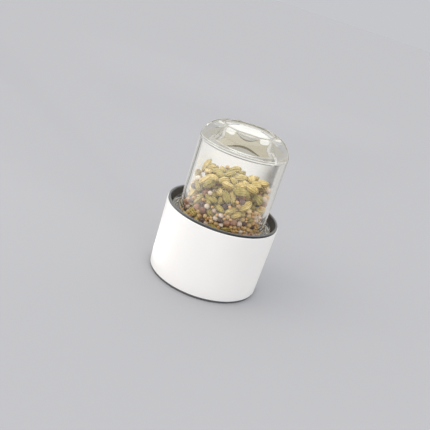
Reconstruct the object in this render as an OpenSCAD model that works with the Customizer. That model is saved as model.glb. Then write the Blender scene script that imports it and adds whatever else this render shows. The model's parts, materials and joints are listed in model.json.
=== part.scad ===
// Spice and pepper mill: a glass jar held mouth-down in a base that carries two blades on a driven shaft.
// The origin is the middle of the underside, with +Z up along the shaft.

/* [Jar] */
// Outer diameter of the jar's straight body
jar_d = 65.4; // [62:0.2:68]
// Thickness of the jar's side wall
jar_wall = 3.2; // [2.4:0.1:4]
// Height of the jar above the rim of the base
jar_rise = 62.5; // [54:0.5:90]
// Outer radius of the rounded edge at the closed end
heel_r = 14; // [9:0.5:15]
// Inner radius of the same edge
heel_inner_r = 4; // [2:0.5:11]
// Thickness of the closed end at its middle
end_t = 6.5; // [4:0.5:10]
// Diameter of the hollow in the closed end
punt_d = 36; // [24:1:38]
// Depth of that hollow
punt_h = 4; // [1.5:0.5:5]
// Thickness of the collar's wall at the mouth
neck_wall = 3; // [2:0.1:3.4]
// Height of the collar
neck_h = 15.5; // [13:0.5:20]
// Depth of the collar's top below the rim
neck_drop = 4.5; // [3:0.5:9]
// Radius that rounds the collar's top edge
neck_edge_r = 1.5; // [0.5:0.1:2]
// Radius that rounds the mouth
mouth_edge_r = 0.8; // [0.3:0.1:1.2]

/* [Jar lock] */
// Number of lugs on the jar, and of catches in the base
lug_count = 4; // [3:1:5]
// Width of each lug and catch, in degrees
lug_angle = 24; // [14:2:28]
// Height of each lug and catch
lug_h = 3; // [2:0.5:4]
// Reach of each lug out from the collar
lug_reach = 1.5; // [1:0.1:1.6]
// Height of the lugs above the mouth
lug_lift = 4; // [3:0.5:5]
// Gap between the lugs and the liner around them
lug_gap = 0.4; // [0.3:0.1:0.8]

/* [Spices] */
// Height of the spices above the rim, at the middle
fill_rise = 28; // [20:0.5:40]
// Slope of the spices' surface, in degrees
fill_slope = 6; // [0:1:10]
// Length of a pod
pod_l = 12.5; // [10:0.5:14]
// Thickness of a pod
pod_w = 6; // [5:0.5:7]
// Number of pods that lie against the glass
wall_pod_count = 26; // [12:1:32]
// Height above the rim from which those pods lie
pod_rise = 7; // [4:0.5:10]
// Most that those pods lean, in degrees
pod_lean = 58; // [20:1:70]
// Number of pods that lie on top
top_pod_count = 24; // [12:1:30]
// Depth of the loose filling between the pods below their outer faces
pod_relief = 2.2; // [1:0.1:2.5]

/* [Base] */
// Outer diameter of the base at the rim
base_d = 85; // [84:0.5:92]
// Height of the base, from its underside to the rim
base_h = 56; // [54:0.5:70]
// Loss of radius for each millimetre down the shell
shell_taper = 0.015; // [0:0.005:0.02]
// Thickness of the shell
shell_wall = 1.3; // [1:0.1:1.5]
// Radius that rounds the shell's upper edge
shell_edge_r = 0.5; // [0.2:0.1:0.6]
// Height of the dark rim above the shell
rim_step = 1.8; // [1:0.1:3]
// Distance of the rim's outer face inside the shell's
rim_inset = 0.7; // [0.6:0.1:0.9]
// Width of the rim's top face
rim_w = 1.9; // [1.7:0.1:2.1]
// Radius that rounds the rim's outer upper edge
rim_edge_r = 0.4; // [0.2:0.1:0.7]
// Radius that rounds the rim's inner upper edge
rim_inner_r = 1.1; // [0.4:0.1:1.1]

/* [Blade holder] */
// Width of the bowl's seat inside the jar's seal
seat_lip = 1; // [0.5:0.1:2]
// Depth of the bowl below the jar's seal
bowl_h = 10; // [8:0.5:12]
// Radius of the corner between the bowl's floor and wall
bowl_corner_r = 4; // [2:0.5:5]
// Thickness of the bowl's floor
bowl_floor_t = 3; // [2.5:0.1:4]
// Thickness of the bowl's wall
bowl_wall = 2.2; // [1.6:0.1:2.6]
// Thickness of the holder's outer skirt
skirt_wall = 1.9; // [1.5:0.1:2.4]
// Thickness of the seal below the jar's mouth
seal_t = 2; // [1.5:0.1:3]
// Width of that seal
seal_w = 4; // [3:0.1:4.2]

/* [Base ring] */
// Distance of the ring's bore, which drops over the drive outlet, inside the shell's widest radius
outlet_inset = 10; // [9.5:0.5:12]
// Height of the base ring
ring_h = 8; // [7:0.5:10]
// Thickness of its bottom flange
ring_flange_t = 2; // [1.5:0.1:3]
// Number of bayonet catches in the ring
catch_count = 3; // [2:1:4]
// Width of each bayonet catch, in degrees
catch_angle = 30; // [20:2:40]
// Reach of each catch inwards
catch_reach = 2.5; // [1.5:0.1:3]
// Height of each catch
catch_h = 3; // [2:0.5:3.5]
// Length of plain bore below the catches
outlet_h = 4.5; // [3:0.5:4.5]
// Distance of the base screws inside the shell's widest radius
screw_inset = 6.3; // [6:0.1:6.7]
// Number of base screws
screw_count = 4; // [3:1:6]
// Diameter of a base screw
screw_d = 3; // [2.5:0.1:3.4]
// Length of a base screw below its head
screw_l = 14; // [10:0.5:16]

/* [Drive] */
// Diameter of the shaft
shaft_d = 6; // [5:0.1:7]
// Diameter of the stud that carries the blades
stud_d = 5; // [4:0.1:5]
// Distance across the two flats of the stud
stud_flat = 4.2; // [3.4:0.1:4.4]
// Outer diameter of the bushes
bush_d = 10; // [9:0.1:11]
// Outer diameter of the shaft seal
lip_seal_d = 12; // [11.4:0.1:13]
// Height of the shaft seal
lip_seal_h = 3.2; // [2.5:0.1:3.4]
// Outer diameter of the bearing housing
housing_d = 14; // [13.4:0.1:15]
// Diameter of the housing's flange
flange_d = 20; // [18:0.5:22]
// Thickness of the housing's flange
flange_t = 2.7; // [2:0.1:3.5]
// Thickness of the gasket below that flange
gasket_t = 0.8; // [0.5:0.1:1.2]
// Size of the housing's nut across its flats
housing_nut_af = 22; // [19:0.5:24]
// Thickness of the housing's nut
housing_nut_h = 3.5; // [2.5:0.1:4]
// Thickness of the washers on the shaft
washer_t = 0.8; // [0.5:0.1:1]
// Diameter of the washers on the shaft
washer_d = 12; // [10:0.5:13]
// Thickness of the retaining ring
clip_t = 1; // [0.6:0.1:1.2]
// Depth of the retaining ring's groove in the shaft
clip_groove = 0.7; // [0.4:0.1:0.9]
// End float of the shaft in its housing
end_float = 0.3; // [0.2:0.05:0.4]

/* [Drive coupling] */
// Height of the coupling's jaw tips above the underside of the base
dog_z = 2.5; // [1.5:0.5:4]
// Outer diameter of the coupling
dog_d = 22; // [18:0.5:26]
// Number of jaws
jaw_count = 4; // [3:1:6]
// Height of the jaws
jaw_h = 4; // [3:0.5:4.5]
// Distance of the jaws' outer faces inside the disc's
jaw_inset = 0.6; // [0.2:0.1:1]
// Distance from the disc's edge to the jaws' inner faces
jaw_w = 4.5; // [3:0.5:5]
// Width of each jaw, in degrees
jaw_angle = 36; // [20:2:44]
// Thickness of the coupling's disc
disc_t = 2.5; // [2:0.1:3]
// Diameter of the coupling's hub
hub_d = 11; // [10:0.5:12]
// Height of the coupling's hub
hub_h = 3.5; // [2.5:0.1:4]
// Diameter of the cross pin in the hub
pin_d = 1.6; // [1.2:0.1:2]
// Diameter of the pilot bore that centres the driver
pilot_d = 7; // [6.6:0.1:7.6]
// Depth of that bore
pilot_h = 3; // [2:0.5:3]
// Thickness of the wall around the pilot bore
pilot_wall = 1.5; // [1:0.1:2]

/* [Blades] */
// Thickness of the blade steel
blade_t = 1.2; // [0.8:0.1:1.5]
// Width of a blade at its root
blade_w = 11; // [10:0.5:13]
// Width of a blade at its tip
blade_tip_w = 5; // [4:0.5:8]
// Width of the ground bevel along the cutting edge
bevel_w = 2.5; // [1.5:0.1:3]
// Radius of the upper blade's tip
upper_tip_r = 24; // [18:0.5:28]
// Radius at which the upper blade bends
upper_bend_r = 8; // [7:0.5:10]
// Rise angle of the upper blade
upper_angle = 24; // [10:1:26]
// Radius of the lower blade's tip
lower_tip_r = 28; // [20:0.5:29]
// Radius at which the lower blade bends
lower_bend_r = 12; // [12:0.5:14]
// Fall angle of the lower blade
lower_angle = 9; // [0:1:9]
// Thickness of the spacer between the blades
spacer_t = 2; // [1.5:0.1:3]
// Diameter of that spacer
spacer_d = 10; // [8:0.5:11]
// Size of the blade nut across its flats
blade_nut_af = 8; // [7.5:0.1:9]
// Height of the blade nut's hexagon
blade_nut_h = 4; // [3:0.1:5]

/* [Hidden] */
$fn = 96;
eps = 0.02;
slip = 0.1;          // between fixed pieces that slide together
shell_gap = 0.3;     // between the shell and the pieces that it covers
fit = 0.03;          // between the shaft and its bushes
run_gap = 0.3;       // between pieces that move past each other
charge_gap = 1.5;    // between the blades' sweep and the spices
golden_angle = 137.508; // spreads the pods evenly
pod_turn = 101;      // from one pod's lean to the next
lap = 0.5;           // depth to which a lug is rooted in its wall
corner_r = 0.1;      // at corners that are all but sharp
fine = 180;          // facets of the widest arc
bevel_share = 0.85;  // part of a blade's thickness that its bevel takes away

// Heights, from the rim down
rim_z = base_h;
shell_top = rim_z - rim_step;
neck_top = rim_z - neck_drop;
mouth_z = neck_top - neck_h;
seat_z = mouth_z - seal_t;
floor_z = seat_z - bowl_h;
under_z = floor_z - bowl_floor_t;
jar_top = rim_z + jar_rise;
jar_floor_z = jar_top - punt_h - end_t;

// Radii
jar_r = jar_d / 2;
jar_in_r = jar_r - jar_wall;
charge_r = jar_in_r - run_gap;
punt_r = punt_d / 2;
base_r = base_d / 2;
rim_out_r = base_r - rim_inset;
liner_r = rim_out_r - rim_w;
crown_h = max(rim_inner_r, rim_edge_r);
neck_r = liner_r - lug_gap - lug_reach;
neck_in_r = neck_r - neck_wall;
outlet_r = base_r - outlet_inset;
shaft_r = shaft_d / 2;
stud_r = stud_d / 2;
hub_r = hub_d / 2;
pilot_r = pilot_d / 2;
screw_r = screw_d / 2;
screw_circle_r = base_r - screw_inset;
post_wall = 1.5;              // around the screw holes in the posts
post_r = screw_r + post_wall;
head_over = 1.3;              // reach of the screw heads past their shanks
head_r = screw_r + head_over;
head_h = 2.2;
head_sink = 0.8;              // depth of the screw heads above the underside

// Seal below the mouth, centred on the jar's mouth
seal_in_r = neck_in_r - (seal_w - neck_wall) / 2;
bowl_r = seal_in_r - seat_lip;

// Lock
lug_z = mouth_z + lug_lift;
catch_z = lug_z + lug_h + run_gap;

// Heights along the drive
disc_z = dog_z + jaw_h;
hub_z = disc_z + disc_t;
dog_top = hub_z + hub_h;
lower_washer_z = dog_top + clip_t;
housing_z = lower_washer_z + washer_t + end_float;
flange_z = floor_z + gasket_t;
housing_top = flange_z + flange_t;
seal_seat_z = housing_top - lip_seal_h - run_gap;
grease_gap = 1;               // between the two bushes
bush_h = (seal_seat_z - housing_z - grease_gap) / 2;
shoulder_z = housing_top + end_float;
lower_blade_z = shoulder_z + washer_t;
spacer_z = lower_blade_z + blade_t;
upper_blade_z = spacer_z + spacer_t;
top_washer_z = upper_blade_z + blade_t;
blade_nut_z = top_washer_z + washer_t;
stud_top = blade_nut_z + blade_nut_h;
upper_rise = (upper_tip_r - upper_bend_r) * tan(upper_angle);
charge_z = max(top_washer_z + upper_rise, stud_top + blade_nut_af / 2) + charge_gap;

// Outer radius of the shell at height z
function shell_r(z) = base_r - (shell_top - z) * shell_taper;
// Inner radius of the shell at height z
function shell_in_r(z) = shell_r(z) - shell_wall;
// Outer radius at height z of what the shell covers
function skirt_r(z) = shell_in_r(z) - shell_gap;

// Half section of a disc from z0 to z1, with its outer corners rounded by low and high
module disc_section(r, z0, z1, low, high) {
    translate([0, z0]) square([r - low, z1 - z0 - high]);
    translate([0, z0 + low]) square([r, z1 - z0 - low - high]);
    translate([0, z1 - high - eps]) square([r - high, high + eps]);
    translate([r - low, z0 + low]) circle(low);
    translate([r - high, z1 - high]) circle(high);
}

// Quarter of a disc, on the side of +X and +Y
module quarter_disc(r) {
    intersection() {
        circle(r);
        square(r);
    }
}

// Flat ring from z, with no fillets
module flat_ring(r_in, r_out, z, h) {
    translate([0, 0, z]) difference() {
        cylinder(r = r_out, h = h);
        translate([0, 0, -eps]) cylinder(r = r_in, h = h + 2 * eps);
    }
}

// Arc-shaped lugs, evenly spaced and centred on +X
module lugs(count, angle, r_in, r_out, z, h) {
    for (i = [0 : count - 1])
        rotate(i * 360 / count - angle / 2)
            rotate_extrude(angle = angle)
                translate([r_in, z]) square([r_out - r_in, h]);
}

// Round bar with two flats, for the stud and for the holes that fit it
module flatted_bar(grow, z, h) {
    translate([0, 0, z]) intersection() {
        cylinder(r = stud_r + grow, h = h);
        translate([-stud_d, -stud_flat / 2 - grow, -eps])
            cube([2 * stud_d, stud_flat + 2 * grow, h + 2 * eps]);
    }
}

// Washer that is driven by the stud's flats
module keyed_disc(r, z, h) {
    difference() {
        translate([0, 0, z]) cylinder(r = r, h = h);
        flatted_bar(slip / 2, z - eps, h + 2 * eps);
    }
}

// Places its children at each base screw
module at_screws() {
    for (i = [0 : screw_count - 1])
        rotate((i + 0.5) * 360 / screw_count)
            translate([screw_circle_r, 0, 0]) children();
}

// Hollow of the jar, as a half section: wide in the collar, then narrowing to the body
module jar_hollow() {
    throat = neck_in_r - jar_in_r;
    throat_z = neck_top - jar_wall + throat / 2;
    polygon([[0, mouth_z - eps], [neck_in_r, mouth_z - eps], [neck_in_r, throat_z - throat],
             [jar_in_r, throat_z], [jar_in_r, jar_floor_z - heel_inner_r],
             [0, jar_floor_z - heel_inner_r]]);
    disc_section(jar_in_r, throat_z, jar_floor_z, corner_r, heel_inner_r);
}

module glass_jar() {
    dish_r = (punt_r * punt_r + punt_h * punt_h) / (2 * punt_h);
    color("lightcyan", 0.4) {
        rotate_extrude() difference() {
            union() {
                disc_section(neck_r, mouth_z, neck_top, mouth_edge_r, neck_edge_r);
                disc_section(jar_r, neck_top - neck_h / 2, jar_top, corner_r, heel_r);
            }
            jar_hollow();
            intersection() {
                translate([0, jar_top - punt_h + dish_r]) circle(dish_r, $fn = fine);
                translate([0, jar_top - 2 * punt_h]) square([punt_d, 4 * punt_h]);
            }
        }
        lugs(lug_count, lug_angle, neck_r - lap, neck_r + lug_reach, lug_z, lug_h);
    }
}

// Places its children in the plane of the middles of the pods on top
module at_fill() {
    translate([0, 0, rim_z + fill_rise - pod_w / 2]) rotate([0, -fill_slope, 0]) children();
}

// Pod that lies along X, a spindle with two pointed ends
module pod() {
    bend_r = (pod_l * pod_l + pod_w * pod_w) / (4 * pod_w);
    rotate([0, 90, 0]) rotate_extrude() intersection() {
        translate([pod_w / 2 - bend_r, 0]) circle(bend_r);
        translate([0, -pod_l / 2]) square([pod_w, pod_l]);
    }
}

// Pods against the glass, spread over it by the golden angle, each leaning another way
module wall_pods() {
    low_z = rim_z + pod_rise;
    step_z = (fill_rise - pod_rise - pod_w / 2) / wall_pod_count;
    for (i = [0 : wall_pod_count - 1])
        rotate(i * golden_angle)
            translate([0, charge_r - pod_w / 2, low_z + (i + 0.5) * step_z])
                rotate([0, pod_lean * sin(i * pod_turn), 0]) pod();
}

// Pods on the spices' sloping surface, spread by the same angle
module top_pods() {
    reach = charge_r - pod_l / 2;
    for (i = [0 : top_pod_count - 1])
        rotate(i * golden_angle)
            translate([reach * sqrt((i + 0.5) / top_pod_count), 0, 0])
                rotate(i * pod_turn) pod();
}

// The spices that the jar holds, down to just above the blades
module spice_charge() {
    drop = 2 * jar_d;
    color("olivedrab") {
        difference() {
            rotate_extrude() intersection() {
                translate([-run_gap, 0]) jar_hollow();
                union() {
                    translate([0, charge_z]) square([neck_r, rim_z + pod_rise - charge_z]);
                    translate([0, charge_z]) square([charge_r - pod_relief, jar_top]);
                }
            }
            at_fill() translate([-drop / 2, -drop / 2, pod_w / 2 - pod_relief]) cube(drop);
        }
        wall_pods();
        at_fill() top_pods();
    }
}

module jar_seal() {
    color("gainsboro") flat_ring(seal_in_r, seal_in_r + seal_w, seat_z, seal_t);
}

module outer_shell() {
    foot_z = ring_flange_t;
    edge = shell_edge_r;
    color("white") rotate_extrude() {
        polygon([[shell_in_r(foot_z), foot_z], [shell_r(foot_z), foot_z],
                 [base_r, shell_top - edge], [base_r - edge, shell_top - edge],
                 [base_r - edge, shell_top], [shell_in_r(shell_top), shell_top]]);
        translate([base_r - edge, shell_top - edge]) circle(edge);
    }
}

// Half section of the rim's crown, with its two upper edges rounded, down to crown_h below the rim
module crown_section() {
    low_z = rim_z - crown_h - eps;
    inner = rim_inner_r;
    outer = rim_edge_r;
    translate([liner_r, low_z]) square([rim_w - outer, crown_h - inner + eps]);
    translate([liner_r + inner, low_z]) square([rim_w - inner, crown_h - outer + eps]);
    translate([liner_r + inner, low_z]) square([rim_w - inner - outer, crown_h + eps]);
    translate([liner_r + inner, rim_z - inner]) rotate(90) quarter_disc(inner);
    translate([rim_out_r - outer, rim_z - outer]) quarter_disc(outer);
}

// Half section of the holder's wall: rim, liner, and the skirt that reaches the base ring
module holder_wall_section() {
    crown_section();
    polygon([[liner_r, seat_z], [liner_r, rim_z - crown_h], [rim_out_r, rim_z - crown_h],
             [rim_out_r, shell_top], [skirt_r(shell_top), shell_top],
             [skirt_r(ring_h), ring_h], [skirt_r(ring_h) - skirt_wall, ring_h],
             [skirt_r(seat_z) - skirt_wall, seat_z]]);
}

// Half section of the bowl: floor, wall and the seat below the jar's seal
module bowl_section() {
    bore_r = housing_d / 2 + slip;
    outer_r = bowl_r + bowl_wall;
    difference() {
        union() {
            disc_section(outer_r, under_z, seat_z, bowl_corner_r, corner_r);
            translate([bowl_r, seat_z - bowl_wall])
                square([skirt_r(seat_z) - skirt_wall / 2 - bowl_r, bowl_wall]);
        }
        disc_section(bowl_r, floor_z, seat_z + bowl_h, bowl_corner_r, corner_r);
        square([bore_r, seat_z]);
    }
}

module blade_holder() {
    color("dimgray") difference() {
        union() {
            rotate_extrude() {
                holder_wall_section();
                bowl_section();
            }
            lugs(lug_count, lug_angle, neck_r + run_gap, liner_r + lap, catch_z, lug_h);
            difference() {
                at_screws() translate([0, 0, ring_h])
                    cylinder(r = post_r, h = seat_z - bowl_wall / 2 - ring_h);
                translate([0, 0, under_z]) cylinder(r = bowl_r + bowl_wall / 2, h = seat_z);
            }
        }
        at_screws() translate([0, 0, ring_h - eps]) cylinder(r = screw_r, h = screw_l);
    }
}

module base_ring() {
    color("dimgray") {
        difference() {
            union() {
                cylinder(r = shell_r(0) - shell_wall / 2, h = ring_flange_t);
                cylinder(r = skirt_r(ring_flange_t), h = ring_h);
            }
            translate([0, 0, -eps]) cylinder(r = outlet_r, h = ring_h + 2 * eps);
            at_screws() {
                translate([0, 0, -eps]) cylinder(r = head_r + slip, h = head_sink + head_h + eps);
                cylinder(r = screw_r + slip, h = ring_h + eps);
            }
        }
        lugs(catch_count, catch_angle, outlet_r - catch_reach, outlet_r + lap, outlet_h, catch_h);
    }
}

// Base screws: a round head with a cross recess, and a plain shank
module base_screws() {
    recess_w = screw_r / 2;
    recess_h = head_h / 2;
    color("silver") at_screws() translate([0, 0, head_sink]) {
        difference() {
            cylinder(r = head_r, h = head_h);
            for (turn = [0, 90])
                rotate(turn) translate([-head_r / 2, -recess_w / 2, -eps])
                    cube([head_r, recess_w, recess_h + eps]);
        }
        cylinder(r = screw_r, h = head_h + screw_l);
    }
}

// Steel housing that holds both bushes and clamps through the bowl's floor
module bearing_housing() {
    color("silver") difference() {
        union() {
            translate([0, 0, housing_z]) cylinder(r = housing_d / 2, h = housing_top - housing_z);
            translate([0, 0, flange_z]) cylinder(r = flange_d / 2, h = flange_t);
        }
        translate([0, 0, housing_z - eps]) cylinder(r = bush_d / 2, h = housing_top - housing_z + 2 * eps);
        translate([0, 0, seal_seat_z]) cylinder(r = lip_seal_d / 2, h = housing_top - seal_seat_z + eps);
    }
}

module housing_gasket() {
    color("black") flat_ring(housing_d / 2 + slip, flange_d / 2, floor_z, gasket_t);
}

module housing_nut() {
    color("silver") translate([0, 0, under_z - housing_nut_h]) difference() {
        cylinder(r = housing_nut_af / 2 / cos(30), h = housing_nut_h, $fn = 6);
        translate([0, 0, -eps]) cylinder(r = housing_d / 2, h = housing_nut_h + 2 * eps);
    }
}

module upper_bush() {
    color("goldenrod") flat_ring(shaft_r + fit, bush_d / 2, seal_seat_z - bush_h, bush_h);
}

module lower_bush() {
    color("goldenrod") flat_ring(shaft_r + fit, bush_d / 2, housing_z, bush_h);
}

module shaft_seal() {
    color("black") flat_ring(shaft_r + 2 * fit, lip_seal_d / 2, seal_seat_z, lip_seal_h);
}

// Shaft with a flatted stud above its shoulder and a groove for the retaining ring
module drive_shaft() {
    color("silver") difference() {
        union() {
            translate([0, 0, disc_z]) cylinder(r = shaft_r, h = shoulder_z - disc_z);
            flatted_bar(0, shoulder_z - eps, blade_nut_z - shoulder_z + eps);
            translate([0, 0, blade_nut_z - eps]) cylinder(r = stud_flat / 2, h = stud_top - blade_nut_z);
        }
        flat_ring(shaft_r - clip_groove, shaft_r + eps, dog_top, clip_t);
        translate([-hub_r, 0, hub_z + hub_h / 2]) rotate([0, 90, 0]) cylinder(d = pin_d, h = hub_d);
    }
}

module thrust_washer() {
    color("gray") keyed_disc(washer_d / 2, shoulder_z, washer_t);
}

module lower_washer() {
    color("gray") flat_ring(shaft_r + slip, washer_d / 2, lower_washer_z, washer_t);
}

// Open ring that snaps into the shaft's groove
module retaining_ring() {
    mouth = shaft_r - clip_groove;
    color("gray") difference() {
        flat_ring(shaft_r - clip_groove, shaft_r + 2 * clip_groove, dog_top, clip_t);
        translate([0, -mouth, dog_top - eps]) cube([2 * shaft_d, 2 * mouth, clip_t + 2 * eps]);
    }
}

// Two-winged blade before its hole is cut: a bent strip, tapered and ground along its leading edges
module blade_blank(z, bend_r, tip_r, angle) {
    end_z = z + (tip_r - bend_r) * tan(angle);
    difference() {
        intersection() {
            rotate([90, 0, 0]) linear_extrude(height = 2 * blade_w, center = true)
                polygon([[-tip_r, end_z], [-bend_r, z], [bend_r, z], [tip_r, end_z],
                         [tip_r, end_z + blade_t], [bend_r, z + blade_t],
                         [-bend_r, z + blade_t], [-tip_r, end_z + blade_t]]);
            linear_extrude(height = jar_top)
                polygon([[0, blade_w / 2], [tip_r, blade_w / 2], [tip_r, blade_w / 2 - blade_tip_w],
                         [bend_r, -blade_w / 2], [0, -blade_w / 2], [-tip_r, -blade_w / 2],
                         [-tip_r, blade_tip_w - blade_w / 2], [-bend_r, blade_w / 2]]);
        }
        for (turn = [0, 180])
            rotate(turn) translate([bend_r, blade_w / 2 - bevel_w, z + blade_t])
                rotate([0, -angle, 0]) rotate([-atan(blade_t * bevel_share / bevel_w), 0, 0])
                    cube([2 * tip_r, 2 * bevel_w, 4 * blade_t]);
    }
}

module lower_blade() {
    color("lightgray") difference() {
        blade_blank(lower_blade_z, lower_bend_r, lower_tip_r, -lower_angle);
        flatted_bar(slip / 2, lower_blade_z - eps, blade_t + 2 * eps);
    }
}

// The upper blade crosses the lower one
module upper_blade() {
    color("lightgray") difference() {
        rotate(90) blade_blank(upper_blade_z, upper_bend_r, upper_tip_r, upper_angle);
        flatted_bar(slip / 2, upper_blade_z - eps, blade_t + 2 * eps);
    }
}

module blade_spacer() {
    color("silver") keyed_disc(spacer_d / 2, spacer_z, spacer_t);
}

module blade_washer() {
    color("silver") keyed_disc(spacer_d / 2, top_washer_z, washer_t);
}

// Domed nut that closes the top of the stud
module blade_nut() {
    dome_r = blade_nut_af / 2;
    color("silver") difference() {
        union() {
            translate([0, 0, blade_nut_z]) cylinder(r = dome_r / cos(30), h = blade_nut_h, $fn = 6);
            intersection() {
                translate([0, 0, stud_top]) sphere(dome_r);
                translate([0, 0, stud_top - eps]) cylinder(r = dome_r, h = dome_r + eps);
            }
        }
        translate([0, 0, blade_nut_z - eps]) cylinder(r = stud_flat / 2, h = blade_nut_h + eps);
    }
}

// Coupling that takes the drive: a disc with a hub above, and with a pilot bore and jaws below
module drive_dog() {
    pilot_z = disc_z - pilot_h;
    color("black") difference() {
        union() {
            translate([0, 0, disc_z]) cylinder(d = dog_d, h = disc_t);
            translate([0, 0, disc_z]) cylinder(r = hub_r, h = disc_t + hub_h);
            translate([0, 0, pilot_z]) cylinder(r = pilot_r + pilot_wall, h = pilot_h + disc_t / 2);
            lugs(jaw_count, jaw_angle, dog_d / 2 - jaw_w, dog_d / 2 - jaw_inset, dog_z, jaw_h + disc_t / 2);
        }
        translate([0, 0, pilot_z - eps]) cylinder(r = pilot_r, h = pilot_h + eps);
        translate([0, 0, disc_z - eps]) cylinder(r = shaft_r, h = dog_top - disc_z + 2 * eps);
        translate([-hub_d, 0, hub_z + hub_h / 2]) rotate([0, 90, 0]) cylinder(d = pin_d, h = 2 * hub_d);
    }
}

module dog_pin() {
    color("silver") translate([-hub_r, 0, hub_z + hub_h / 2]) rotate([0, 90, 0])
        cylinder(d = pin_d, h = hub_d);
}

glass_jar();
spice_charge();
jar_seal();
outer_shell();
blade_holder();
base_ring();
base_screws();
bearing_housing();
housing_gasket();
housing_nut();
upper_bush();
lower_bush();
shaft_seal();
drive_shaft();
thrust_washer();
lower_blade();
blade_spacer();
upper_blade();
blade_washer();
blade_nut();
lower_washer();
retaining_ring();
drive_dog();
dog_pin();
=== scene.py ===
import json
import math

import bmesh
import bpy
import numpy as np
from mathutils import Matrix, Vector


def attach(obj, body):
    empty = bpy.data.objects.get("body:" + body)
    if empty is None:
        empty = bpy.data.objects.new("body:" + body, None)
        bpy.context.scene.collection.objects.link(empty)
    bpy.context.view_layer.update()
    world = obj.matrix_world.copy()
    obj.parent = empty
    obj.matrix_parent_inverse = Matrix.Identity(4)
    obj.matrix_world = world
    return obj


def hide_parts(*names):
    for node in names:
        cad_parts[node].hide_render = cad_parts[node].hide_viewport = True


# A spice and pepper mill: a glass jar of spices, mouth down in a white base with a dark rim.
# +Z runs up the shaft, and the underside is at z = 0. Lengths of the jar, the spices and the holder are in
# millimetres. Those of the camera, the stage, the glow, the cards and every bump are in metres.

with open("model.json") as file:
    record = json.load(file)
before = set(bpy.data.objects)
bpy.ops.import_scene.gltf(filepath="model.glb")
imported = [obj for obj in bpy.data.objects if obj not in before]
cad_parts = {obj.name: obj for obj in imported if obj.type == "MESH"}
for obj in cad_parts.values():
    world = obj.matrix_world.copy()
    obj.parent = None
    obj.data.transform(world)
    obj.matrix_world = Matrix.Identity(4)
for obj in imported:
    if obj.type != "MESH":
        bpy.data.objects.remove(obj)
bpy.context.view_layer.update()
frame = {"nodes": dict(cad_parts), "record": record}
mm = 0.001
tiny = 1e-9
print("frame:", len(frame["nodes"]), "nodes")


class Value:
    # a number socket that takes arithmetic
    def __init__(self, shader, socket):
        self.shader = shader
        self.socket = socket

    def math(self, operation, *others):
        return self.shader.math(operation, self, *others)

    def __add__(self, other):
        return self.math("ADD", other)

    def __radd__(self, other):
        return self.math("ADD", other)

    def __sub__(self, other):
        return self.math("SUBTRACT", other)

    def __rsub__(self, other):
        return self.shader.math("SUBTRACT", other, self)

    def __mul__(self, other):
        return self.math("MULTIPLY", other)

    def __rmul__(self, other):
        return self.math("MULTIPLY", other)

    def __truediv__(self, other):
        return self.math("DIVIDE", other)

    def __pow__(self, other):
        return self.math("POWER", other)

    def between(self, low, high, start=0.0, end=1.0):
        # eases from start to end while the value goes from low to high
        limits = {"From Min": low, "From Max": high, "To Min": start, "To Max": end}
        made = self.shader.node("ShaderNodeMapRange", {"interpolation_type": "SMOOTHSTEP"},
                                {"Value": self, **limits})
        return Value(self.shader, made.outputs[0])


class Shader:
    # one material: its Principled shader, and the nodes that feed it
    def __init__(self, name, **fixed):
        self.material = bpy.data.materials.new(name)
        self.material.use_nodes = True
        self.tree = self.material.node_tree
        self.tree.nodes.clear()
        self.surface = self.node("ShaderNodeBsdfPrincipled", inputs=fixed)
        self.output = self.node("ShaderNodeOutputMaterial", inputs={"Surface": self.surface.outputs[0]})

    def node(self, kind, settings=None, inputs=None):
        made = self.tree.nodes.new(kind)
        for name, setting in (settings or {}).items():
            setattr(made, name, setting)
        for name, source in (inputs or {}).items():
            self.feed(made.inputs[name], source)
        return made

    def feed(self, socket, source):
        if isinstance(source, Value):
            source = source.socket
        if isinstance(source, bpy.types.NodeSocket):
            self.tree.links.new(source, socket)
        else:
            socket.default_value = source

    def set(self, **inputs):
        for name, source in inputs.items():
            self.feed(self.surface.inputs[name.replace("_", " ")], source)

    def show(self, shader):
        # puts another shader in the place of the Principled one
        self.feed(self.output.inputs["Surface"], shader.outputs[0])

    def math(self, operation, *terms):
        made = self.node("ShaderNodeMath", {"operation": operation}, dict(enumerate(terms)))
        return Value(self, made.outputs[0])

    def place(self):
        # Object coordinates, in metres
        return self.node("ShaderNodeTexCoord").outputs["Object"]

    def attribute(self, name):
        return self.node("ShaderNodeAttribute", {"attribute_name": name}).outputs

    def split(self, vector):
        made = self.node("ShaderNodeSeparateXYZ", inputs={0: vector})
        return [Value(self, socket) for socket in made.outputs]

    def ray(self, kind):
        # 1 for a ray of this kind, or a count for a depth
        return Value(self, self.node("ShaderNodeLightPath").outputs[kind])

    def noise(self, scale, detail=2.0, roughness=0.5, stretch=None):
        vector = self.place()
        if stretch:
            vector = self.node("ShaderNodeMapping", inputs={"Vector": vector, "Scale": stretch}).outputs[0]
        made = self.node("ShaderNodeTexNoise", inputs={"Vector": vector, "Scale": scale, "Detail": detail,
                                                        "Roughness": roughness})
        return Value(self, made.outputs["Fac"])

    def mix(self, factor, first, second):
        return self.node("ShaderNodeMix", {"data_type": "RGBA"}, {0: factor, 6: first, 7: second}).outputs[2]

    def blend(self, factor, first, second):
        # mixes two shaders
        return self.node("ShaderNodeMixShader", inputs={0: factor, 1: first.outputs[0], 2: second.outputs[0]})

    def bump(self, height, distance):
        made = self.node("ShaderNodeBump", inputs={"Height": height, "Distance": distance, "Strength": 1.0})
        self.set(Normal=made.outputs["Normal"])


def rgb(colour, share=1.0):
    red, green, blue = colour
    return (red * share, green * share, blue * share, 1.0)


def meshFrom(made, name, smooth=False):
    mesh = bpy.data.meshes.new(name)
    made.to_mesh(mesh)
    made.free()
    for face in mesh.polygons:
        face.use_smooth = smooth
    return mesh


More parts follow.
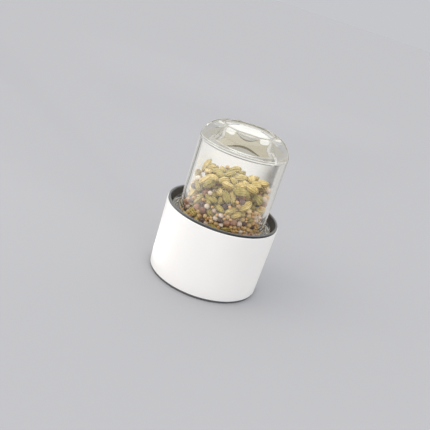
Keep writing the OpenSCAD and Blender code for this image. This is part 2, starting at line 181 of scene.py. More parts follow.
def spunMesh(name, profile, steps):
    # profile: a closed loop of (radius, height) pairs in millimetres, turned once round Z
    made = bmesh.new()
    verts = [made.verts.new((radius * mm, 0, height * mm)) for radius, height in profile]
    edges = [made.edges.new(pair) for pair in zip(verts, verts[1:] + verts[:1])]
    bmesh.ops.spin(made, geom=verts + edges, cent=(0, 0, 0), axis=(0, 0, 1), angle=math.tau, steps=steps,
                   use_merge=True)
    bmesh.ops.remove_doubles(made, verts=made.verts[:], dist=1e-7)
    bmesh.ops.dissolve_degenerate(made, dist=1e-8, edges=made.edges[:])
    bmesh.ops.recalc_face_normals(made, faces=made.faces[:])
    return meshFrom(made, name, smooth=True)


def addPiece(name, mesh, material):
    piece = bpy.data.objects.new(name, mesh)
    bpy.context.scene.collection.objects.link(piece)
    piece.data.materials.clear()
    piece.data.materials.append(material)
    return piece


def arc(centreX, centreZ, radius, start, end, count):
    # points along an arc, from start to end in degrees
    turns = [math.radians(start + (end - start) * k / count) for k in range(count + 1)]
    return [(centreX + radius * math.cos(turn), centreZ + radius * math.sin(turn)) for turn in turns]


# the glass jar: a straight body, a rounded closed end with a hollow in it, and a wide collar with four lugs
jar = dict(radius=32.7, wall=3.2, top=118.5, heel=14.0, innerHeel=4.0, floor=108.0,
           puntRadius=18.0, puntDepth=4.0, puntStep=1.2, puntShare=0.7, puntLip=0.5,
           neckRadius=38.0, neckInner=35.0, mouth=36.0, neckTop=51.5, neckEdge=1.5, mouthEdge=0.8, fillet=1.0,
           throatTop=50.9, throatSoft=2.0, lugCount=4, lugAngle=24, lugLow=40.0, lugHigh=43.0, lugReach=1.5,
           lugFlank=0.4, lugLand=0.3, outerRings=(16, 34), innerRings=(30, 12), floorRings=(8, 15),
           steps=120, edgeSteps=4, neckSteps=6, heelSteps=16, dishSteps=10, innerSteps=12)
glassLook = dict(colour=(1.0, 1.0, 0.99), ior=1.5, rippleScale=55.0, rippleHeight=0.00004,
                 ripplePart=(0.45, 0.75), roughest=0.012, passed=(0.96, 0.96, 0.94), deepest=3.5,
                 paintedWallGlow=(0.62, 0.61, 0.57), tint=(0.52, 0.49, 0.34), density=6.5)


def jarProfile(s):
    # the outline of half the jar, out of the mouth and up the outside, then down the inside
    inner = s["radius"] - s["wall"]
    edge, few = s["mouthEdge"], s["edgeSteps"]
    outside = [(s["neckInner"] + edge, s["mouth"])]
    outside += arc(s["neckRadius"] - edge, s["mouth"] + edge, edge, -90, 0, few)
    outside += [(s["neckRadius"], s["lugLow"] + rise) for rise in (-s["lugFlank"], 0, s["lugLand"])]
    outside += [(s["neckRadius"], s["lugHigh"] + rise) for rise in (-s["lugLand"], 0, s["lugFlank"])]
    outside += arc(s["neckRadius"] - s["neckEdge"], s["neckTop"] - s["neckEdge"], s["neckEdge"], 0, 90,
                   s["neckSteps"])
    outside += arc(s["radius"] + s["fillet"], s["neckTop"] + s["fillet"], s["fillet"], 270, 180, few)
    outside += [(s["radius"], s["neckTop"] + rise) for rise in s["outerRings"]]
    outside += arc(s["radius"] - s["heel"], s["top"] - s["heel"], s["heel"], 0, 90, s["heelSteps"])
    # the hollow is a shallow dish below a small rounded lip and a sloping step
    low = s["puntRadius"] - s["puntShare"] * s["puntStep"]
    deep = s["puntDepth"] - s["puntStep"]
    dish = (low ** 2 + deep ** 2) / (2 * deep)
    spread = math.degrees(math.asin(low / dish))
    outside += arc(s["puntRadius"] + s["puntLip"], s["top"] - s["puntLip"], s["puntLip"], 90, 150, few)
    outside += arc(0, s["top"] - s["puntDepth"] + dish, dish, 270 + spread, 270, s["dishSteps"])
    inside = [(radius, s["floor"]) for radius in (0, *s["floorRings"])]
    inside += arc(inner - s["innerHeel"], s["floor"] - s["innerHeel"], s["innerHeel"], 90, 0, s["innerSteps"])
    inside += [(inner, s["throatTop"] + rise) for rise in s["innerRings"]]
    # the throat widens at 45 degrees, with both its bends rounded
    slant = 45
    soft = s["throatSoft"] * math.tan(math.radians(slant / 2))
    throatLow = s["throatTop"] - (s["neckInner"] - inner)
    inside += arc(inner + s["throatSoft"], s["throatTop"] + soft, s["throatSoft"], 180, 180 + slant, few)
    inside += arc(s["neckInner"] - s["throatSoft"], throatLow - soft, s["throatSoft"], slant, 0, few)
    inside += arc(s["neckInner"] + edge, s["mouth"] + edge, edge, 180, 270, few)[:-1]
    return outside + inside


def addLugs(mesh, s):
    # the lugs are pushed out of the collar's wall
    near = 0.01      # rounding, in millimetres and in degrees
    sector = 360 / s["lugCount"]
    made = bmesh.new()
    made.from_mesh(mesh)
    for vert in made.verts:
        radius = math.hypot(vert.co.x, vert.co.y)
        turn = math.degrees(math.atan2(vert.co.y, vert.co.x))
        away = abs((turn + sector / 2) % sector - sector / 2)
        onWall = radius >= (s["neckRadius"] - near) * mm
        inHeight = s["lugLow"] - near < vert.co.z / mm < s["lugHigh"] + near
        if onWall and inHeight and away <= s["lugAngle"] / 2 + near:
            grow = 1 + s["lugReach"] * mm / radius
            vert.co.x *= grow
            vert.co.y *= grow
    made.to_mesh(mesh)
    made.free()


def pressedGlass(s):
    shader = Shader("jarGlass", IOR=s["ior"], **{"Base Color": rgb(s["colour"]), "Transmission Weight": 1.0})
    ripple = shader.noise(s["rippleScale"])
    shader.set(Roughness=ripple.between(*s["ripplePart"], 0.0, s["roughest"]))
    shader.bump(ripple, s["rippleHeight"])
    # a ray caught inside the wall ends in a painted glow that stands in for the light it would have gathered,
    # and shadow and bounced light pass straight in
    wall = shader.node("ShaderNodeEmission", inputs={"Color": rgb(s["paintedWallGlow"])})
    spent = shader.ray("Glossy Depth").math("GREATER_THAN", s["deepest"])
    caught = shader.blend(spent, shader.surface, wall)
    clear = shader.node("ShaderNodeBsdfTransparent", inputs={"Color": rgb(s["passed"])})
    passing = shader.ray("Is Shadow Ray").math("MAXIMUM", shader.ray("Is Diffuse Ray"))
    shader.show(shader.blend(passing, caught, clear))
    tinted = shader.node("ShaderNodeVolumeAbsorption",
                         inputs={"Color": rgb(s["tint"]), "Density": s["density"]})
    shader.feed(shader.output.inputs["Volume"], tinted.outputs[0])
    return shader.material


jarMesh = spunMesh("jar_glass", jarProfile(jar), jar["steps"])
addLugs(jarMesh, jar)
jarGlass = addPiece("jar_glass", jarMesh, pressedGlass(glassLook))
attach(jarGlass, "jar")
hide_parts("glass_jar")
print("glass jar:", len(jarMesh.polygons), "faces")


# the spices: pods that lie where the solid has them, with loose pods and seeds packed around them
charge = dict(seed=7, low=42.2, throatLow=45.7, wide=34.3, narrow=29.2, top=84.0, slope=6.0, headroom=1.0,
              margin=3.0, podReach=27.0, seedReach=29.0, podRise=0.55, seedRise=1.5, podFlat=0.5, steps=300,
              rounds=3, relax=0.45, falls=((0.6, 0.16), (0.8, 0.06)), cell=6.8, reach=1.2, refresh=6)
laidPods = dict(low=63.0, length=12.5, width=6.0, wallCount=26, topCount=24, goldenAngle=137.508, turn=101.0,
                lean=58.0, share=(0.84, 1.0), tip=0.22, lift=0.8)
kinds = {
    "cardamom_pods": dict(count=245, length=(9.0, 12.5), width=(4.6, 5.8)),
    "white_peppercorns": dict(count=230, width=(3.4, 4.4)),
    "coriander_seeds": dict(count=250, width=(3.4, 4.4)),
    "dark_peppercorns": dict(count=130, width=(3.8, 4.8)),
    "allspice_berries": dict(count=95, width=(4.8, 6.0)),
    "mustard_seeds": dict(count=900, width=(2.0, 2.8)),
}
# the balls that an item is packed as: places as shares of its length, radii as shares of its width
podBeads = ((-0.385, 0.22), (-0.22, 0.39), (0.0, 0.5), (0.22, 0.39), (0.385, 0.22))
seedBeads = ((0.0, 0.5),)


def layPods(s, p, rng):
    # the pods against the glass, then those on the sloping surface
    laid = []
    upright = Vector((0, 0, 1))
    reach = s["narrow"] - p["width"] / 2
    step = (s["top"] - p["width"] / 2 - p["low"]) / p["wallCount"]
    for i in range(p["wallCount"]):
        spin = Matrix.Rotation(math.radians(i * p["goldenAngle"]), 3, "Z")
        lean = math.radians(p["lean"]) * math.sin(math.radians(i * p["turn"]))
        axis = Matrix.Rotation(lean, 3, "Y") @ Vector((1, 0, 0))
        laid.append((spin @ Vector((0, reach, p["low"] + (i + 0.5) * step)), spin @ axis))
    lift = Vector((0, 0, s["top"] - p["width"] / 2))
    slope = Matrix.Rotation(math.radians(-s["slope"]), 3, "Y")
    for i in range(p["topCount"]):
        spin = slope @ Matrix.Rotation(math.radians(i * p["goldenAngle"]), 3, "Z")
        out = (s["narrow"] - p["length"] / 2) * math.sqrt((i + 0.5) / p["topCount"])
        axis = Matrix.Rotation(math.radians(i * p["turn"]), 3, "Z") @ Vector((1, 0, 0))
        laid.append((lift + spin @ Vector((out, 0, 0)), spin @ axis))
    for i in range(p["wallCount"], len(laid)):
        place, axis = laid[i]
        nudge = upright * rng.uniform(-p["lift"], p["lift"])
        laid[i] = place + nudge, (axis + upright * rng.uniform(-p["tip"], p["tip"])).normalized()
    grown = rng.uniform(*p["share"], size=len(laid))
    return [("cardamom_pods", tuple(place), tuple(axis), p["length"] * share, p["width"] * share)
            for (place, axis), share in zip(laid, grown)]


def scatter(s, kinds, rng):
    # a start for every loose item, well apart: pods towards the top, seeds towards the bottom
    items = []
    for kind, spec in kinds.items():
        isPod = "length" in spec
        for _ in range(spec["count"]):
            turn = rng.uniform(0, math.tau)
            high = rng.uniform() ** (s["podRise"] if isPod else s["seedRise"])
            reach = (s["podReach"] if isPod else s["seedReach"]) * math.sqrt(rng.uniform())
            rise = (s["top"] - s["low"] - 2 * s["margin"]) * high
            width = rng.uniform(*spec["width"])
            length = rng.uniform(*spec["length"]) if isPod else width
            axis = rng.normal(size=3) * (1, 1, s["podFlat"] if isPod else 1)
            middle = (reach * math.cos(turn), reach * math.sin(turn), s["low"] + s["margin"] + rise)
            items.append((kind, middle, axis / np.linalg.norm(axis), length, width))
    return items


def nearPairs(centres, radii, owner, s):
    # pairs of beads of different items that lie close, from a grid of cells
    grid = np.floor(centres / s["cell"]).astype(int)
    grid -= grid.min(0)
    size = grid.max(0) + 3
    key = ((grid[:, 0] + 1) * size[1] + grid[:, 1] + 1) * size[2] + grid[:, 2] + 1
    order = np.argsort(key, kind="stable")
    keys = key[order]
    first, second = [], []
    around = (-1, 0, 1)
    steps = [(dx * size[1] + dy) * size[2] + dz for dx in around for dy in around for dz in around]
    for step in [step for step in steps if step >= 0]:
        low = np.searchsorted(keys, keys + step, "left")
        count = np.searchsorted(keys, keys + step, "right") - low
        i = np.repeat(np.arange(len(keys)), count)
        j = np.repeat(low, count) + np.arange(len(i)) - np.repeat(np.cumsum(count) - count, count)
        if step == 0:
            i, j = i[j > i], j[j > i]
        first.append(order[i])
        second.append(order[j])
    i, j = np.concatenate(first), np.concatenate(second)
    keep = owner[i] != owner[j]
    i, j = i[keep], j[keep]
    keep = ((centres[i] - centres[j]) ** 2).sum(1) < (radii[i] + radii[j] + s["reach"]) ** 2
    return i[keep], j[keep]


def wallPush(centres, radii, s):
    # how far each bead has to move to come back inside the glass and under the surface
    push = np.zeros_like(centres)
    away = np.hypot(centres[:, 0], centres[:, 1]) + tiny
    room = np.clip(s["wide"] - (centres[:, 2] - s["throatLow"]), s["narrow"], s["wide"])
    over = np.maximum(away + radii - room, 0)
    push[:, 0] = -over * centres[:, 0] / away
    push[:, 1] = -over * centres[:, 1] / away
    ceiling = s["top"] - s["headroom"] + centres[:, 0] * math.tan(math.radians(s["slope"]))
    push[:, 2] = np.maximum(s["low"] + radii - centres[:, 2], 0)
    push[:, 2] -= np.maximum(centres[:, 2] + radii - ceiling, 0)
    return push


def pack(s, items, laid):
    # lets the loose items settle under the laid ones: they fall a little, then push each other apart
    place = np.array([item[1] for item in items], float)
    axis = np.array([item[2] for item in items], float)
    share, radii, owner = [], [], []
    for n, (_, _, _, length, width) in enumerate(items):
        for along, thick in (podBeads if length > width else seedBeads):
            share.append(along * length)
            radii.append(thick * width)
            owner.append(n)
    share, radii, owner = np.array(share), np.array(radii), np.array(owner)
    total = len(items)
    loose = (np.arange(total) >= laid)[:, None]
    inertia = np.bincount(owner, share ** 2) + tiny
    slim = np.bincount(owner) > 1
    down = np.array([math.sin(math.radians(s["slope"])), 0, -math.cos(math.radians(s["slope"]))])

    def perItem(values):
        return np.stack([np.bincount(owner, values[:, k], total) for k in range(3)], -1)

    for step in range(s["steps"]):
        centres = place[owner] + axis[owner] * share[:, None]
        if step % s["refresh"] == 0:
            i, j = nearPairs(centres, radii, owner, s)
        fall = next((drop for until, drop in s["falls"] if step < until * s["steps"]), 0.0)
        place += down * fall * loose
        for _ in range(s["rounds"]):
            centres = place[owner] + axis[owner] * share[:, None]
            apart = centres[i] - centres[j]
            gap = np.sqrt((apart ** 2).sum(1)) + tiny
            over = radii[i] + radii[j] - gap
            hit = over > 0
            push = apart[hit] * (over[hit] / gap[hit] / 2)[:, None]
            move = wallPush(centres, radii, s)
            touches = np.bincount(owner, np.abs(move).sum(1) > 0, total)
            for k in range(3):
                move[:, k] += np.bincount(i[hit], push[:, k], len(centres))
                move[:, k] -= np.bincount(j[hit], push[:, k], len(centres))
            for pressed in (i[hit], j[hit]):
                touches += np.bincount(owner[pressed], minlength=total)
            ease = np.maximum(touches * s["relax"], 1)[:, None]
            place += perItem(move) / ease * loose
            spin = perItem(np.cross(axis[owner] * share[:, None], move)) / inertia[:, None] / ease
            spin[~(slim & loose[:, 0])] = 0
            axis += np.cross(spin, axis)
            axis /= np.linalg.norm(axis, axis=1)[:, None]
    return place, axis


podForm = dict(point=1.35, lobes=3, lobeDepth=0.15, ribs=9, ribDepth=0.03, flattest=0.86, bend=0.25,
               bendEven=0.35, shorter=0.05)
seedForm = dict(uneven=0.05, waves=3, tightness=2.2)


def unitShape(isPod):
    # the ball of radius 1 that an item is shaped from: its vertices and its faces
    made = bmesh.new()
    if isPod:
        bmesh.ops.create_uvsphere(made, u_segments=15, v_segments=9, radius=1.0)
    else:
        bmesh.ops.create_icosphere(made, subdivisions=2, radius=1.0)
    verts = np.array([vert.co[:] for vert in made.verts])
    faces = [[vert.index for vert in face.verts] for face in made.faces]
    made.free()
    return verts, faces


def podShape(verts, s, rng):
    # a three-sided pod with pointed ends and a slight curve
    shape = verts.copy()
    turn = np.arctan2(verts[:, 1], verts[:, 0])
    along = verts[:, 2]
    thick = np.hypot(verts[:, 0], verts[:, 1]) ** s["point"]
    lobes = 1 + s["lobeDepth"] * np.cos(s["lobes"] * turn + rng.uniform(0, math.tau))
    lobes = lobes + s["ribDepth"] * np.cos(s["ribs"] * turn)
    shape[:, 0] = np.cos(turn) * thick * lobes * rng.uniform(s["flattest"], 1.0)
    shape[:, 1] = np.sin(turn) * thick * lobes
    shape[:, 0] += rng.uniform(-s["bend"], s["bend"]) * (along ** 2 - s["bendEven"])
    shape[:, 2] = along * (1 - s["shorter"] * rng.uniform())
    return shape


def seedShape(verts, s, rng):
    # a ball with a few shallow dents
    waves = rng.normal(size=(s["waves"], 3))
    swell = sum(np.cos(verts @ wave * s["tightness"]) for wave in waves)
    return verts * (1 + s["uneven"] * (swell / s["waves"]))[:, None]


def spicePiece(name, chosen, material, rng):
    # chosen: the length, width, middle and direction of each item
    isPod = "length" in kinds[name]
    verts, faces = unitShape(isPod)
    allVerts, allFaces, tints = [], [], []
    for length, width, middle, axis in chosen:
        shape = podShape(verts, podForm, rng) if isPod else seedShape(verts, seedForm, rng)
        roll = Matrix.Rotation(rng.uniform(0, math.tau), 3, "Z")
        turn = Vector(axis).to_track_quat("Z", "Y").to_matrix() @ roll
        sized = shape * (width / 2, width / 2, length / 2)
        faceStart = len(allVerts) * len(verts)
        allVerts.append((sized @ np.array(turn).T + middle) * mm)
        allFaces += [[index + faceStart for index in face] for face in faces]
        tints += [rng.uniform()] * len(verts)
    mesh = bpy.data.meshes.new(name)
    mesh.from_pydata(np.concatenate(allVerts), [], allFaces)
    mesh.attributes.new("tint", "FLOAT", "POINT").data.foreach_set("value", tints)
    grain = mesh.attributes.new("grainPlace", "FLOAT_VECTOR", "POINT")
    grain.data.foreach_set("vector", np.tile(verts, (len(chosen), 1)).ravel())
    mesh.update()
    for face in mesh.polygons:
        face.use_smooth = True
    piece = addPiece(name, mesh, material)
    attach(piece, "jar")
    return piece


podLook = dict(green=((0.370, 0.295, 0.070), (0.640, 0.505, 0.150)),
               straw=((0.760, 0.540, 0.165), (0.980, 0.780, 0.350)), strawPart=(0.05, 0.75),
               end=(0.250, 0.160, 0.060), endShade=0.7, endPart=(0.72, 1.0), ribs=9.0,
               groove=(0.160, 0.100, 0.026), grooveShade=0.22, patchScale=260.0, patchPart=(0.3, 0.7),
               patchBump=0.8, roughness=0.42, uneven=0.2, gloss=0.35, depth=0.0006)
seedLook = dict(gloss=0.35, tint=0.75, wrinkle=0.35, start=-0.05, uneven=0.16)
seedLooks = {
    "white_peppercorns": dict(material="whitePepper", dark=(0.55, 0.40, 0.31), light=(0.86, 0.73, 0.62),
                              grain=700, depth=0.0002, roughness=0.42),
    "coriander_seeds": dict(material="corianderSeed", dark=(0.48, 0.31, 0.13), light=(0.78, 0.57, 0.31),
                            grain=600, depth=0.0002, roughness=0.47),
    "dark_peppercorns": dict(material="darkPepper", dark=(0.070, 0.040, 0.036), light=(0.260, 0.155, 0.130),
                             grain=900, depth=0.0004, roughness=0.47),
    "allspice_berries": dict(material="allspiceBerry", dark=(0.190, 0.075, 0.042),
                             light=(0.480, 0.250, 0.150), grain=700, depth=0.0003, roughness=0.42),
    "mustard_seeds": dict(material="mustardSeed", dark=(0.48, 0.25, 0.075), light=(0.80, 0.52, 0.22),
                          grain=500, depth=0.0001, roughness=0.32),
}


def cardamomHusk(s):
    # a ribbed husk between green and straw, with painted shade in its grooves, and darker at its ends
    shader = Shader("cardamomHusk", **{"Specular IOR Level": s["gloss"]})
    tint = Value(shader, shader.attribute("tint")["Fac"])
    x, y, z = shader.split(shader.attribute("grainPlace")["Vector"])
    ribs = (y.math("ARCTAN2", x) * s["ribs"]).math("SINE") * 0.5 + 0.5
    patch = shader.noise(s["patchScale"], detail=3.0, roughness=0.6)
    patched = patch.between(*s["patchPart"])
    green, straw = [shader.mix(patched, rgb(dark), rgb(light)) for dark, light in (s["green"], s["straw"])]
    husk = shader.mix(tint.between(*s["strawPart"]), green, straw)
    husk = shader.mix((z * z).between(*s["endPart"]) * s["endShade"], husk, rgb(s["end"]))
    # painted shade darkens the grooves between the ribs
    husk = shader.mix((1 - ribs) * s["grooveShade"], husk, rgb(s["groove"]))
    shader.set(Base_Color=husk, Roughness=s["roughness"] + patch * s["uneven"])
    shader.bump(ribs + patch * s["patchBump"], s["depth"])
    return shader.material


def seedSkin(look, s):
    shader = Shader(look["material"], **{"Specular IOR Level": s["gloss"]})
    tint = Value(shader, shader.attribute("tint")["Fac"])
    wrinkle = shader.noise(look["grain"], detail=3.0, roughness=0.65)
    lighter = tint * s["tint"] + wrinkle * s["wrinkle"] + s["start"]
    shade = shader.mix(lighter, rgb(look["dark"]), rgb(look["light"]))
    shader.set(Base_Color=shade, Roughness=look["roughness"] + wrinkle * s["uneven"])
    shader.bump(wrinkle, look["depth"])
    return shader.material


rng = np.random.default_rng(charge["seed"])
laid = layPods(charge, laidPods, rng)
items = laid + scatter(charge, kinds, rng)
place, axis = pack(charge, items, len(laid))
for name in kinds:
    chosen = [(length, width, place[n], axis[n]) for n, (kind, _, _, length, width) in enumerate(items)
              if kind == name]
    skin = seedSkin(seedLooks[name], seedLook) if name in seedLooks else cardamomHusk(podLook)
    piece = spicePiece(name, chosen, skin, rng)
    if name == "cardamom_pods":
        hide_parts("spice_charge")
    print(name, len(chosen), "items", len(piece.data.polygons), "faces")


# finishes of the base and the drive, by the record's material slots
# edge is a painted highlight on the rim's top, and outside is painted shade on the rim's outer face
holder = dict(inside=(0.105, 0.108, 0.112), edge=(0.150, 0.155, 0.160), outside=(0.012, 0.013, 0.015),
              crown=(55.4, 55.9), face=(41.0, 41.6), roughness=0.32, uneven=0.04)
moulding = dict(fineGrain=2600.0, rubberGrain=1800.0, depth=0.00002, broadScale=35.0, broadPart=(0.3, 0.7),
                darker=0.985, uneven=0.05)
turning = dict(grain=220.0, depth=0.00001, darker=0.88, uneven=0.14, lathe=(1.0, 1.0, 40.0),
               ground=(1.0, 30.0, 1.0))


def plastic(name, colour, roughness, grain=moulding["fineGrain"]):
    s = moulding
    shader = Shader(name)
    fine = shader.noise(grain)
    broad = shader.noise(s["broadScale"], detail=3.0)
    shader.set(Base_Color=shader.mix(broad.between(*s["broadPart"]), rgb(colour, s["darker"]), rgb(colour)),
               Roughness=roughness + broad * s["uneven"])
    shader.bump(fine, s["depth"])
    return shader.material


def rubber(name, colour, roughness):
    return plastic(name, colour, roughness, moulding["rubberGrain"])


def holderPlastic(s):
    # grey within, with a painted highlight round the rim's top edge and near-black painted shade where the
    # rim meets the shell
    shader = Shader("darkHolder")
    fine = shader.noise(moulding["fineGrain"])
    x, y, z = shader.split(shader.place())
    out = (x * x + y * y) ** 0.5
    # the band at the rim's top gets the painted highlight, and the outer face below it gets the painted shade
    crown = z.between(*[height * mm for height in s["crown"]])
    face = out.between(*[radius * mm for radius in s["face"]])
    shade = shader.mix(crown, rgb(s["inside"]), rgb(s["edge"]))
    shade = shader.mix(face * (1 - crown), shade, rgb(s["outside"]))
    shader.set(Base_Color=shade, Roughness=s["roughness"] + fine * s["uneven"])
    shader.bump(fine, moulding["depth"])
    return shader.material


def metal(name, colour, roughness, stretch=turning["lathe"]):
    # fine lines from the tool, which run across the stretched axis
    s = turning
    shader = Shader(name, Metallic=1.0)
    lines = shader.noise(s["grain"], detail=3.0, roughness=0.6, stretch=stretch)
    shader.set(Base_Color=shader.mix(lines, rgb(colour, s["darker"]), rgb(colour)),
               Roughness=roughness + lines * s["uneven"])
    shader.bump(lines, s["depth"])
    return shader.material


finishes = {
    "white_plastic": plastic("whiteShell", (0.865, 0.85, 0.83), 0.36),
    "dark_plastic": holderPlastic(holder),
    "seal_rubber": rubber("sealRubber", (0.55, 0.55, 0.54), 0.6),
    "black_rubber": rubber("blackRubber", (0.020, 0.020, 0.021), 0.62),
    "steel": metal("turnedSteel", (0.62, 0.62, 0.63), 0.26),
    "blade_steel": metal("bladeSteel", (0.66, 0.66, 0.67), 0.18, turning["ground"]),
    "bronze": metal("bushBronze", (0.62, 0.42, 0.20), 0.32),
    "coupling_plastic": plastic("couplingPlastic", (0.035, 0.035, 0.037), 0.45),
}
for part in frame["record"]["subparts"]:
    finish = finishes.get(part["material_slot"])
    if finish:
        node = frame["nodes"][part["node"]]
        node.data.materials.clear()
        node.data.materials.append(finish)
print("base and drive finished")


# the camera's angles are in radians, and its focal length is in pixels of an image of this width
view = dict(place=(0.0, -0.43753, 0.22039), pan=-0.0108, tilt=0.3733, roll=0.3177, focal=632.5, width=430,
            sensor=36.0, nearest=0.01)


def addCamera(s):
    pan, tilt, roll = s["pan"], s["tilt"], s["roll"]
    forward = Vector((math.sin(pan) * math.cos(tilt), math.cos(pan) * math.cos(tilt), -math.sin(tilt)))
    right = Vector((math.cos(pan), -math.sin(pan), 0))
    up = right.cross(forward)
    across = math.cos(roll) * right + math.sin(roll) * up
    above = -math.sin(roll) * right + math.cos(roll) * up
    data = bpy.data.cameras.new("camera")
    data.sensor_width = s["sensor"]
    data.lens = s["focal"] / s["width"] * s["sensor"]
    data.clip_start = s["nearest"]
    camera = bpy.data.objects.new("camera", data)
    turn = Matrix((across, above, -forward)).transposed().to_4x4()
    camera.matrix_world = Matrix.Translation(s["place"]) @ turn
    bpy.context.scene.collection.objects.link(camera)
    bpy.context.scene.camera = camera


addCamera(view)
print("camera set")


# the floor, the world and the one lamp; the lamp's angles are in degrees, from straight in front towards +X
stage = dict(backdrop=(0.565, 0.571, 0.597), floorShade=(0.418, 0.419, 0.435), floorReach=6.0,
             floorSpeck=0.995, speckScale=12.0, floorRoughness=0.9, floorGloss=0.1,
             ambient=(1.205, 1.215, 1.23), gloss=(0.60, 0.60, 0.61),
             sunTurn=-62.0, sunRise=34.0, sunStrength=0.79, sunSpread=50.0, sunColour=(1.0, 0.93, 0.86))


def addFloor(s):
    made = bmesh.new()
    bmesh.ops.create_circle(made, cap_ends=True, cap_tris=False, segments=64, radius=s["floorReach"])
    shader = Shader("floorPaint", Roughness=s["floorRoughness"], **{"Specular IOR Level": s["floorGloss"]})
    speck = shader.noise(s["speckScale"])
    shader.set(Base_Color=shader.mix(speck, rgb(s["floorShade"], s["floorSpeck"]), rgb(s["floorShade"])))
    addPiece("floor", meshFrom(made, "floor"), shader.material)


def addWorld(s):
    # the ambient shade lights the mill, gloss shows a dimmer one, and the camera and glass show the backdrop
    world = bpy.data.worlds.new("studio")
    world.use_nodes = True
    tree = world.node_tree
    tree.nodes.clear()
    path = tree.nodes.new("ShaderNodeLightPath")
    output = tree.nodes.new("ShaderNodeOutputWorld")

    def background(colour):
        made = tree.nodes.new("ShaderNodeBackground")
        made.inputs["Color"].default_value = rgb(colour)
        return made.outputs[0]

    last, gloss, backdrop = [background(s[name]) for name in ("ambient", "gloss", "backdrop")]
    shades = {"Is Glossy Ray": gloss, "Is Transmission Ray": backdrop, "Is Camera Ray": backdrop}
    for ray, shade in shades.items():
        mix = tree.nodes.new("ShaderNodeMixShader")
        tree.links.new(path.outputs[ray], mix.inputs[0])
        tree.links.new(last, mix.inputs[1])
        tree.links.new(shade, mix.inputs[2])
        last = mix.outputs[0]
    tree.links.new(last, output.inputs["Surface"])
    bpy.context.scene.world = world


def addSun(s):
    data = bpy.data.lights.new("key", "SUN")
    data.energy = s["sunStrength"]
    data.angle = math.radians(s["sunSpread"])
    data.color = s["sunColour"]
    sun = bpy.data.objects.new("key", data)
    turn, rise = math.radians(s["sunTurn"]), math.radians(s["sunRise"])
    towards = Vector((math.sin(turn) * math.cos(rise), -math.cos(turn) * math.cos(rise), math.sin(rise)))
    sun.rotation_euler = towards.to_track_quat("Z", "Y").to_euler()
    bpy.context.scene.collection.objects.link(sun)


# only glass, gloss and metal see the glow and the cards: a lit ring on the floor, and cards around the mill
# A bearing is 0 straight in front and grows towards +X, in degrees. Each row of turns gives the bearing where
# the light starts to change, the one where it stops, and the light that it then has.
glow = dict(inner=0.05, outer=2.5, height=0.0015, front=2.9, far=0.60, reach=(0.45, 1.0),
            near=(0.29, 0.36), nearDim=0.5, aheadLeft=(285, 325), aheadRight=(20, 60), through=0.95,
            barTurn=(158, 164, 202, 208), barAway=(0.41, 0.43, 0.57, 0.59), barShade=0.7,
            beyondAway=(0.66, 0.68, 0.90, 1.00), beyondLight=0.4, warm=(1.0, 0.985, 0.96),
            turns=((10, 60, 0.62), (110, 150, 0.62), (154, 158, 0.26), (163, 174, 0.86), (186, 200, 0.66),
                   (216, 218, 0.0), (222, 224, 0.66), (232, 260, 2.9), (285, 310, 2.9)))
# size is half of a card's width and height, and a card that isn't seen through only mirrors in the glass
cards = {
    "topCard": dict(at=(-0.10, 0.10, 0.62), size=(0.26, 0.26), light=(1.7, 1.7, 1.65), seenThrough=True),
    "backCard": dict(at=(-0.02, 0.52, 0.37), size=(0.26, 0.09), light=(1.10, 1.10, 1.08), seenThrough=True),
    "lowCard": dict(at=(0.02, 0.53, 0.235), size=(0.20, 0.045), light=(0.66, 0.62, 0.51), seenThrough=True),
    "duskCard": dict(at=(-0.02, 0.52, 0.14), size=(0.28, 0.05), light=(0.22, 0.19, 0.13), seenThrough=True),
    "leftCard": dict(at=(-0.55, -0.10, 0.30), size=(0.22, 0.26), light=(2.4, 2.4, 2.35), seenThrough=False),
    "rightCard": dict(at=(0.50, 0.02, 0.26), size=(0.035, 0.24), light=(4.0, 4.0, 4.0), seenThrough=True),
    "darkCard": dict(at=(0.42, -0.22, 0.22), size=(0.07, 0.22), light=(0.10, 0.085, 0.075),
                     seenThrough=False),
}
cardAim = Vector((0, 0, 0.08))       # the point on the shaft that the cards face


def stageCard(name, mesh, shader, colour, seenThrough=True):
    # a stage piece that shines in this colour and is unseen by the camera, shadows and bounced light
    shader.show(shader.node("ShaderNodeEmission", inputs={"Color": colour}))
    card = addPiece(name, mesh, shader.material)
    card.visible_camera = False
    card.visible_diffuse = False
    card.visible_shadow = False
    card.visible_transmission = seenThrough


def within(value, start, full, easing, end):
    # 1 from full to easing, and 0 before start and after end
    return value.between(start, full) * value.between(easing, end, 1, 0)


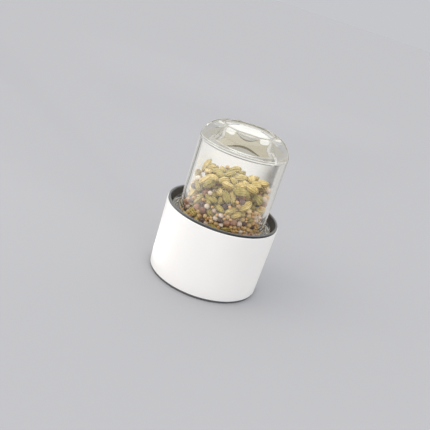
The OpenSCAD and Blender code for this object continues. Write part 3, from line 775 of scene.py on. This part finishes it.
def addGlow(s):
    made = bmesh.new()
    ends = [made.verts.new((s[end], 0, s["height"])) for end in ("inner", "outer")]
    edge = made.edges.new(ends)
    bmesh.ops.spin(made, geom=ends + [edge], cent=(0, 0, 0), axis=(0, 0, 1), angle=math.tau, steps=64,
                   use_merge=True)
    shader = Shader("glowRing")
    x, y, _ = shader.split(shader.place())
    away = (x * x + y * y) ** 0.5
    bearing = (y.math("ARCTAN2", x) * (180 / math.pi) + 450).math("MODULO", 360)
    shade, reached = bearing * 0 + s["front"], s["front"]
    for start, end, light in s["turns"]:
        shade = shade + bearing.between(start, end, 0, light - reached)
        reached = light
    faded = away.between(*s["reach"])
    level = shade * (1 - faded) + faded * s["far"]
    ahead = bearing.between(*s["aheadLeft"]) + bearing.between(*s["aheadRight"], 1, 0)
    level = level * (1 - ahead * away.between(*s["near"], s["nearDim"], 0))
    # behind the mill, a dark bar and a brighter band beyond it draw the lines of the glass
    back = within(bearing, *s["barTurn"])
    level = level * (1 - back * within(away, *s["barAway"]) * s["barShade"])
    level = level + back * within(away, *s["beyondAway"]) * s["beyondLight"]
    # seen through glass, the ring is no brighter than white
    crossing = shader.ray("Is Transmission Ray")
    level = level * (1 - crossing) + level.math("MINIMUM", s["through"]) * crossing
    tone = shader.mix(level / s["front"], rgb((0, 0, 0)), rgb(s["warm"], s["front"]))
    stageCard("glowRing", meshFrom(made, "glowRing"), shader, tone)


def addCard(name, s):
    made = bmesh.new()
    bmesh.ops.create_grid(made, x_segments=1, y_segments=1, size=1.0)
    bmesh.ops.scale(made, vec=(*s["size"], 1), verts=made.verts[:])
    turn = (cardAim - Vector(s["at"])).to_track_quat("-Z", "Y").to_matrix().to_4x4()
    bmesh.ops.transform(made, matrix=Matrix.Translation(s["at"]) @ turn, verts=made.verts[:])
    stageCard(name, meshFrom(made, name), Shader(name), rgb(s["light"]), s["seenThrough"])


addGlow(glow)
for name, card in cards.items():
    addCard(name, card)
addFloor(stage)
addWorld(stage)
addSun(stage)
bpy.context.scene.view_settings.view_transform = "Standard"
print("stage set")
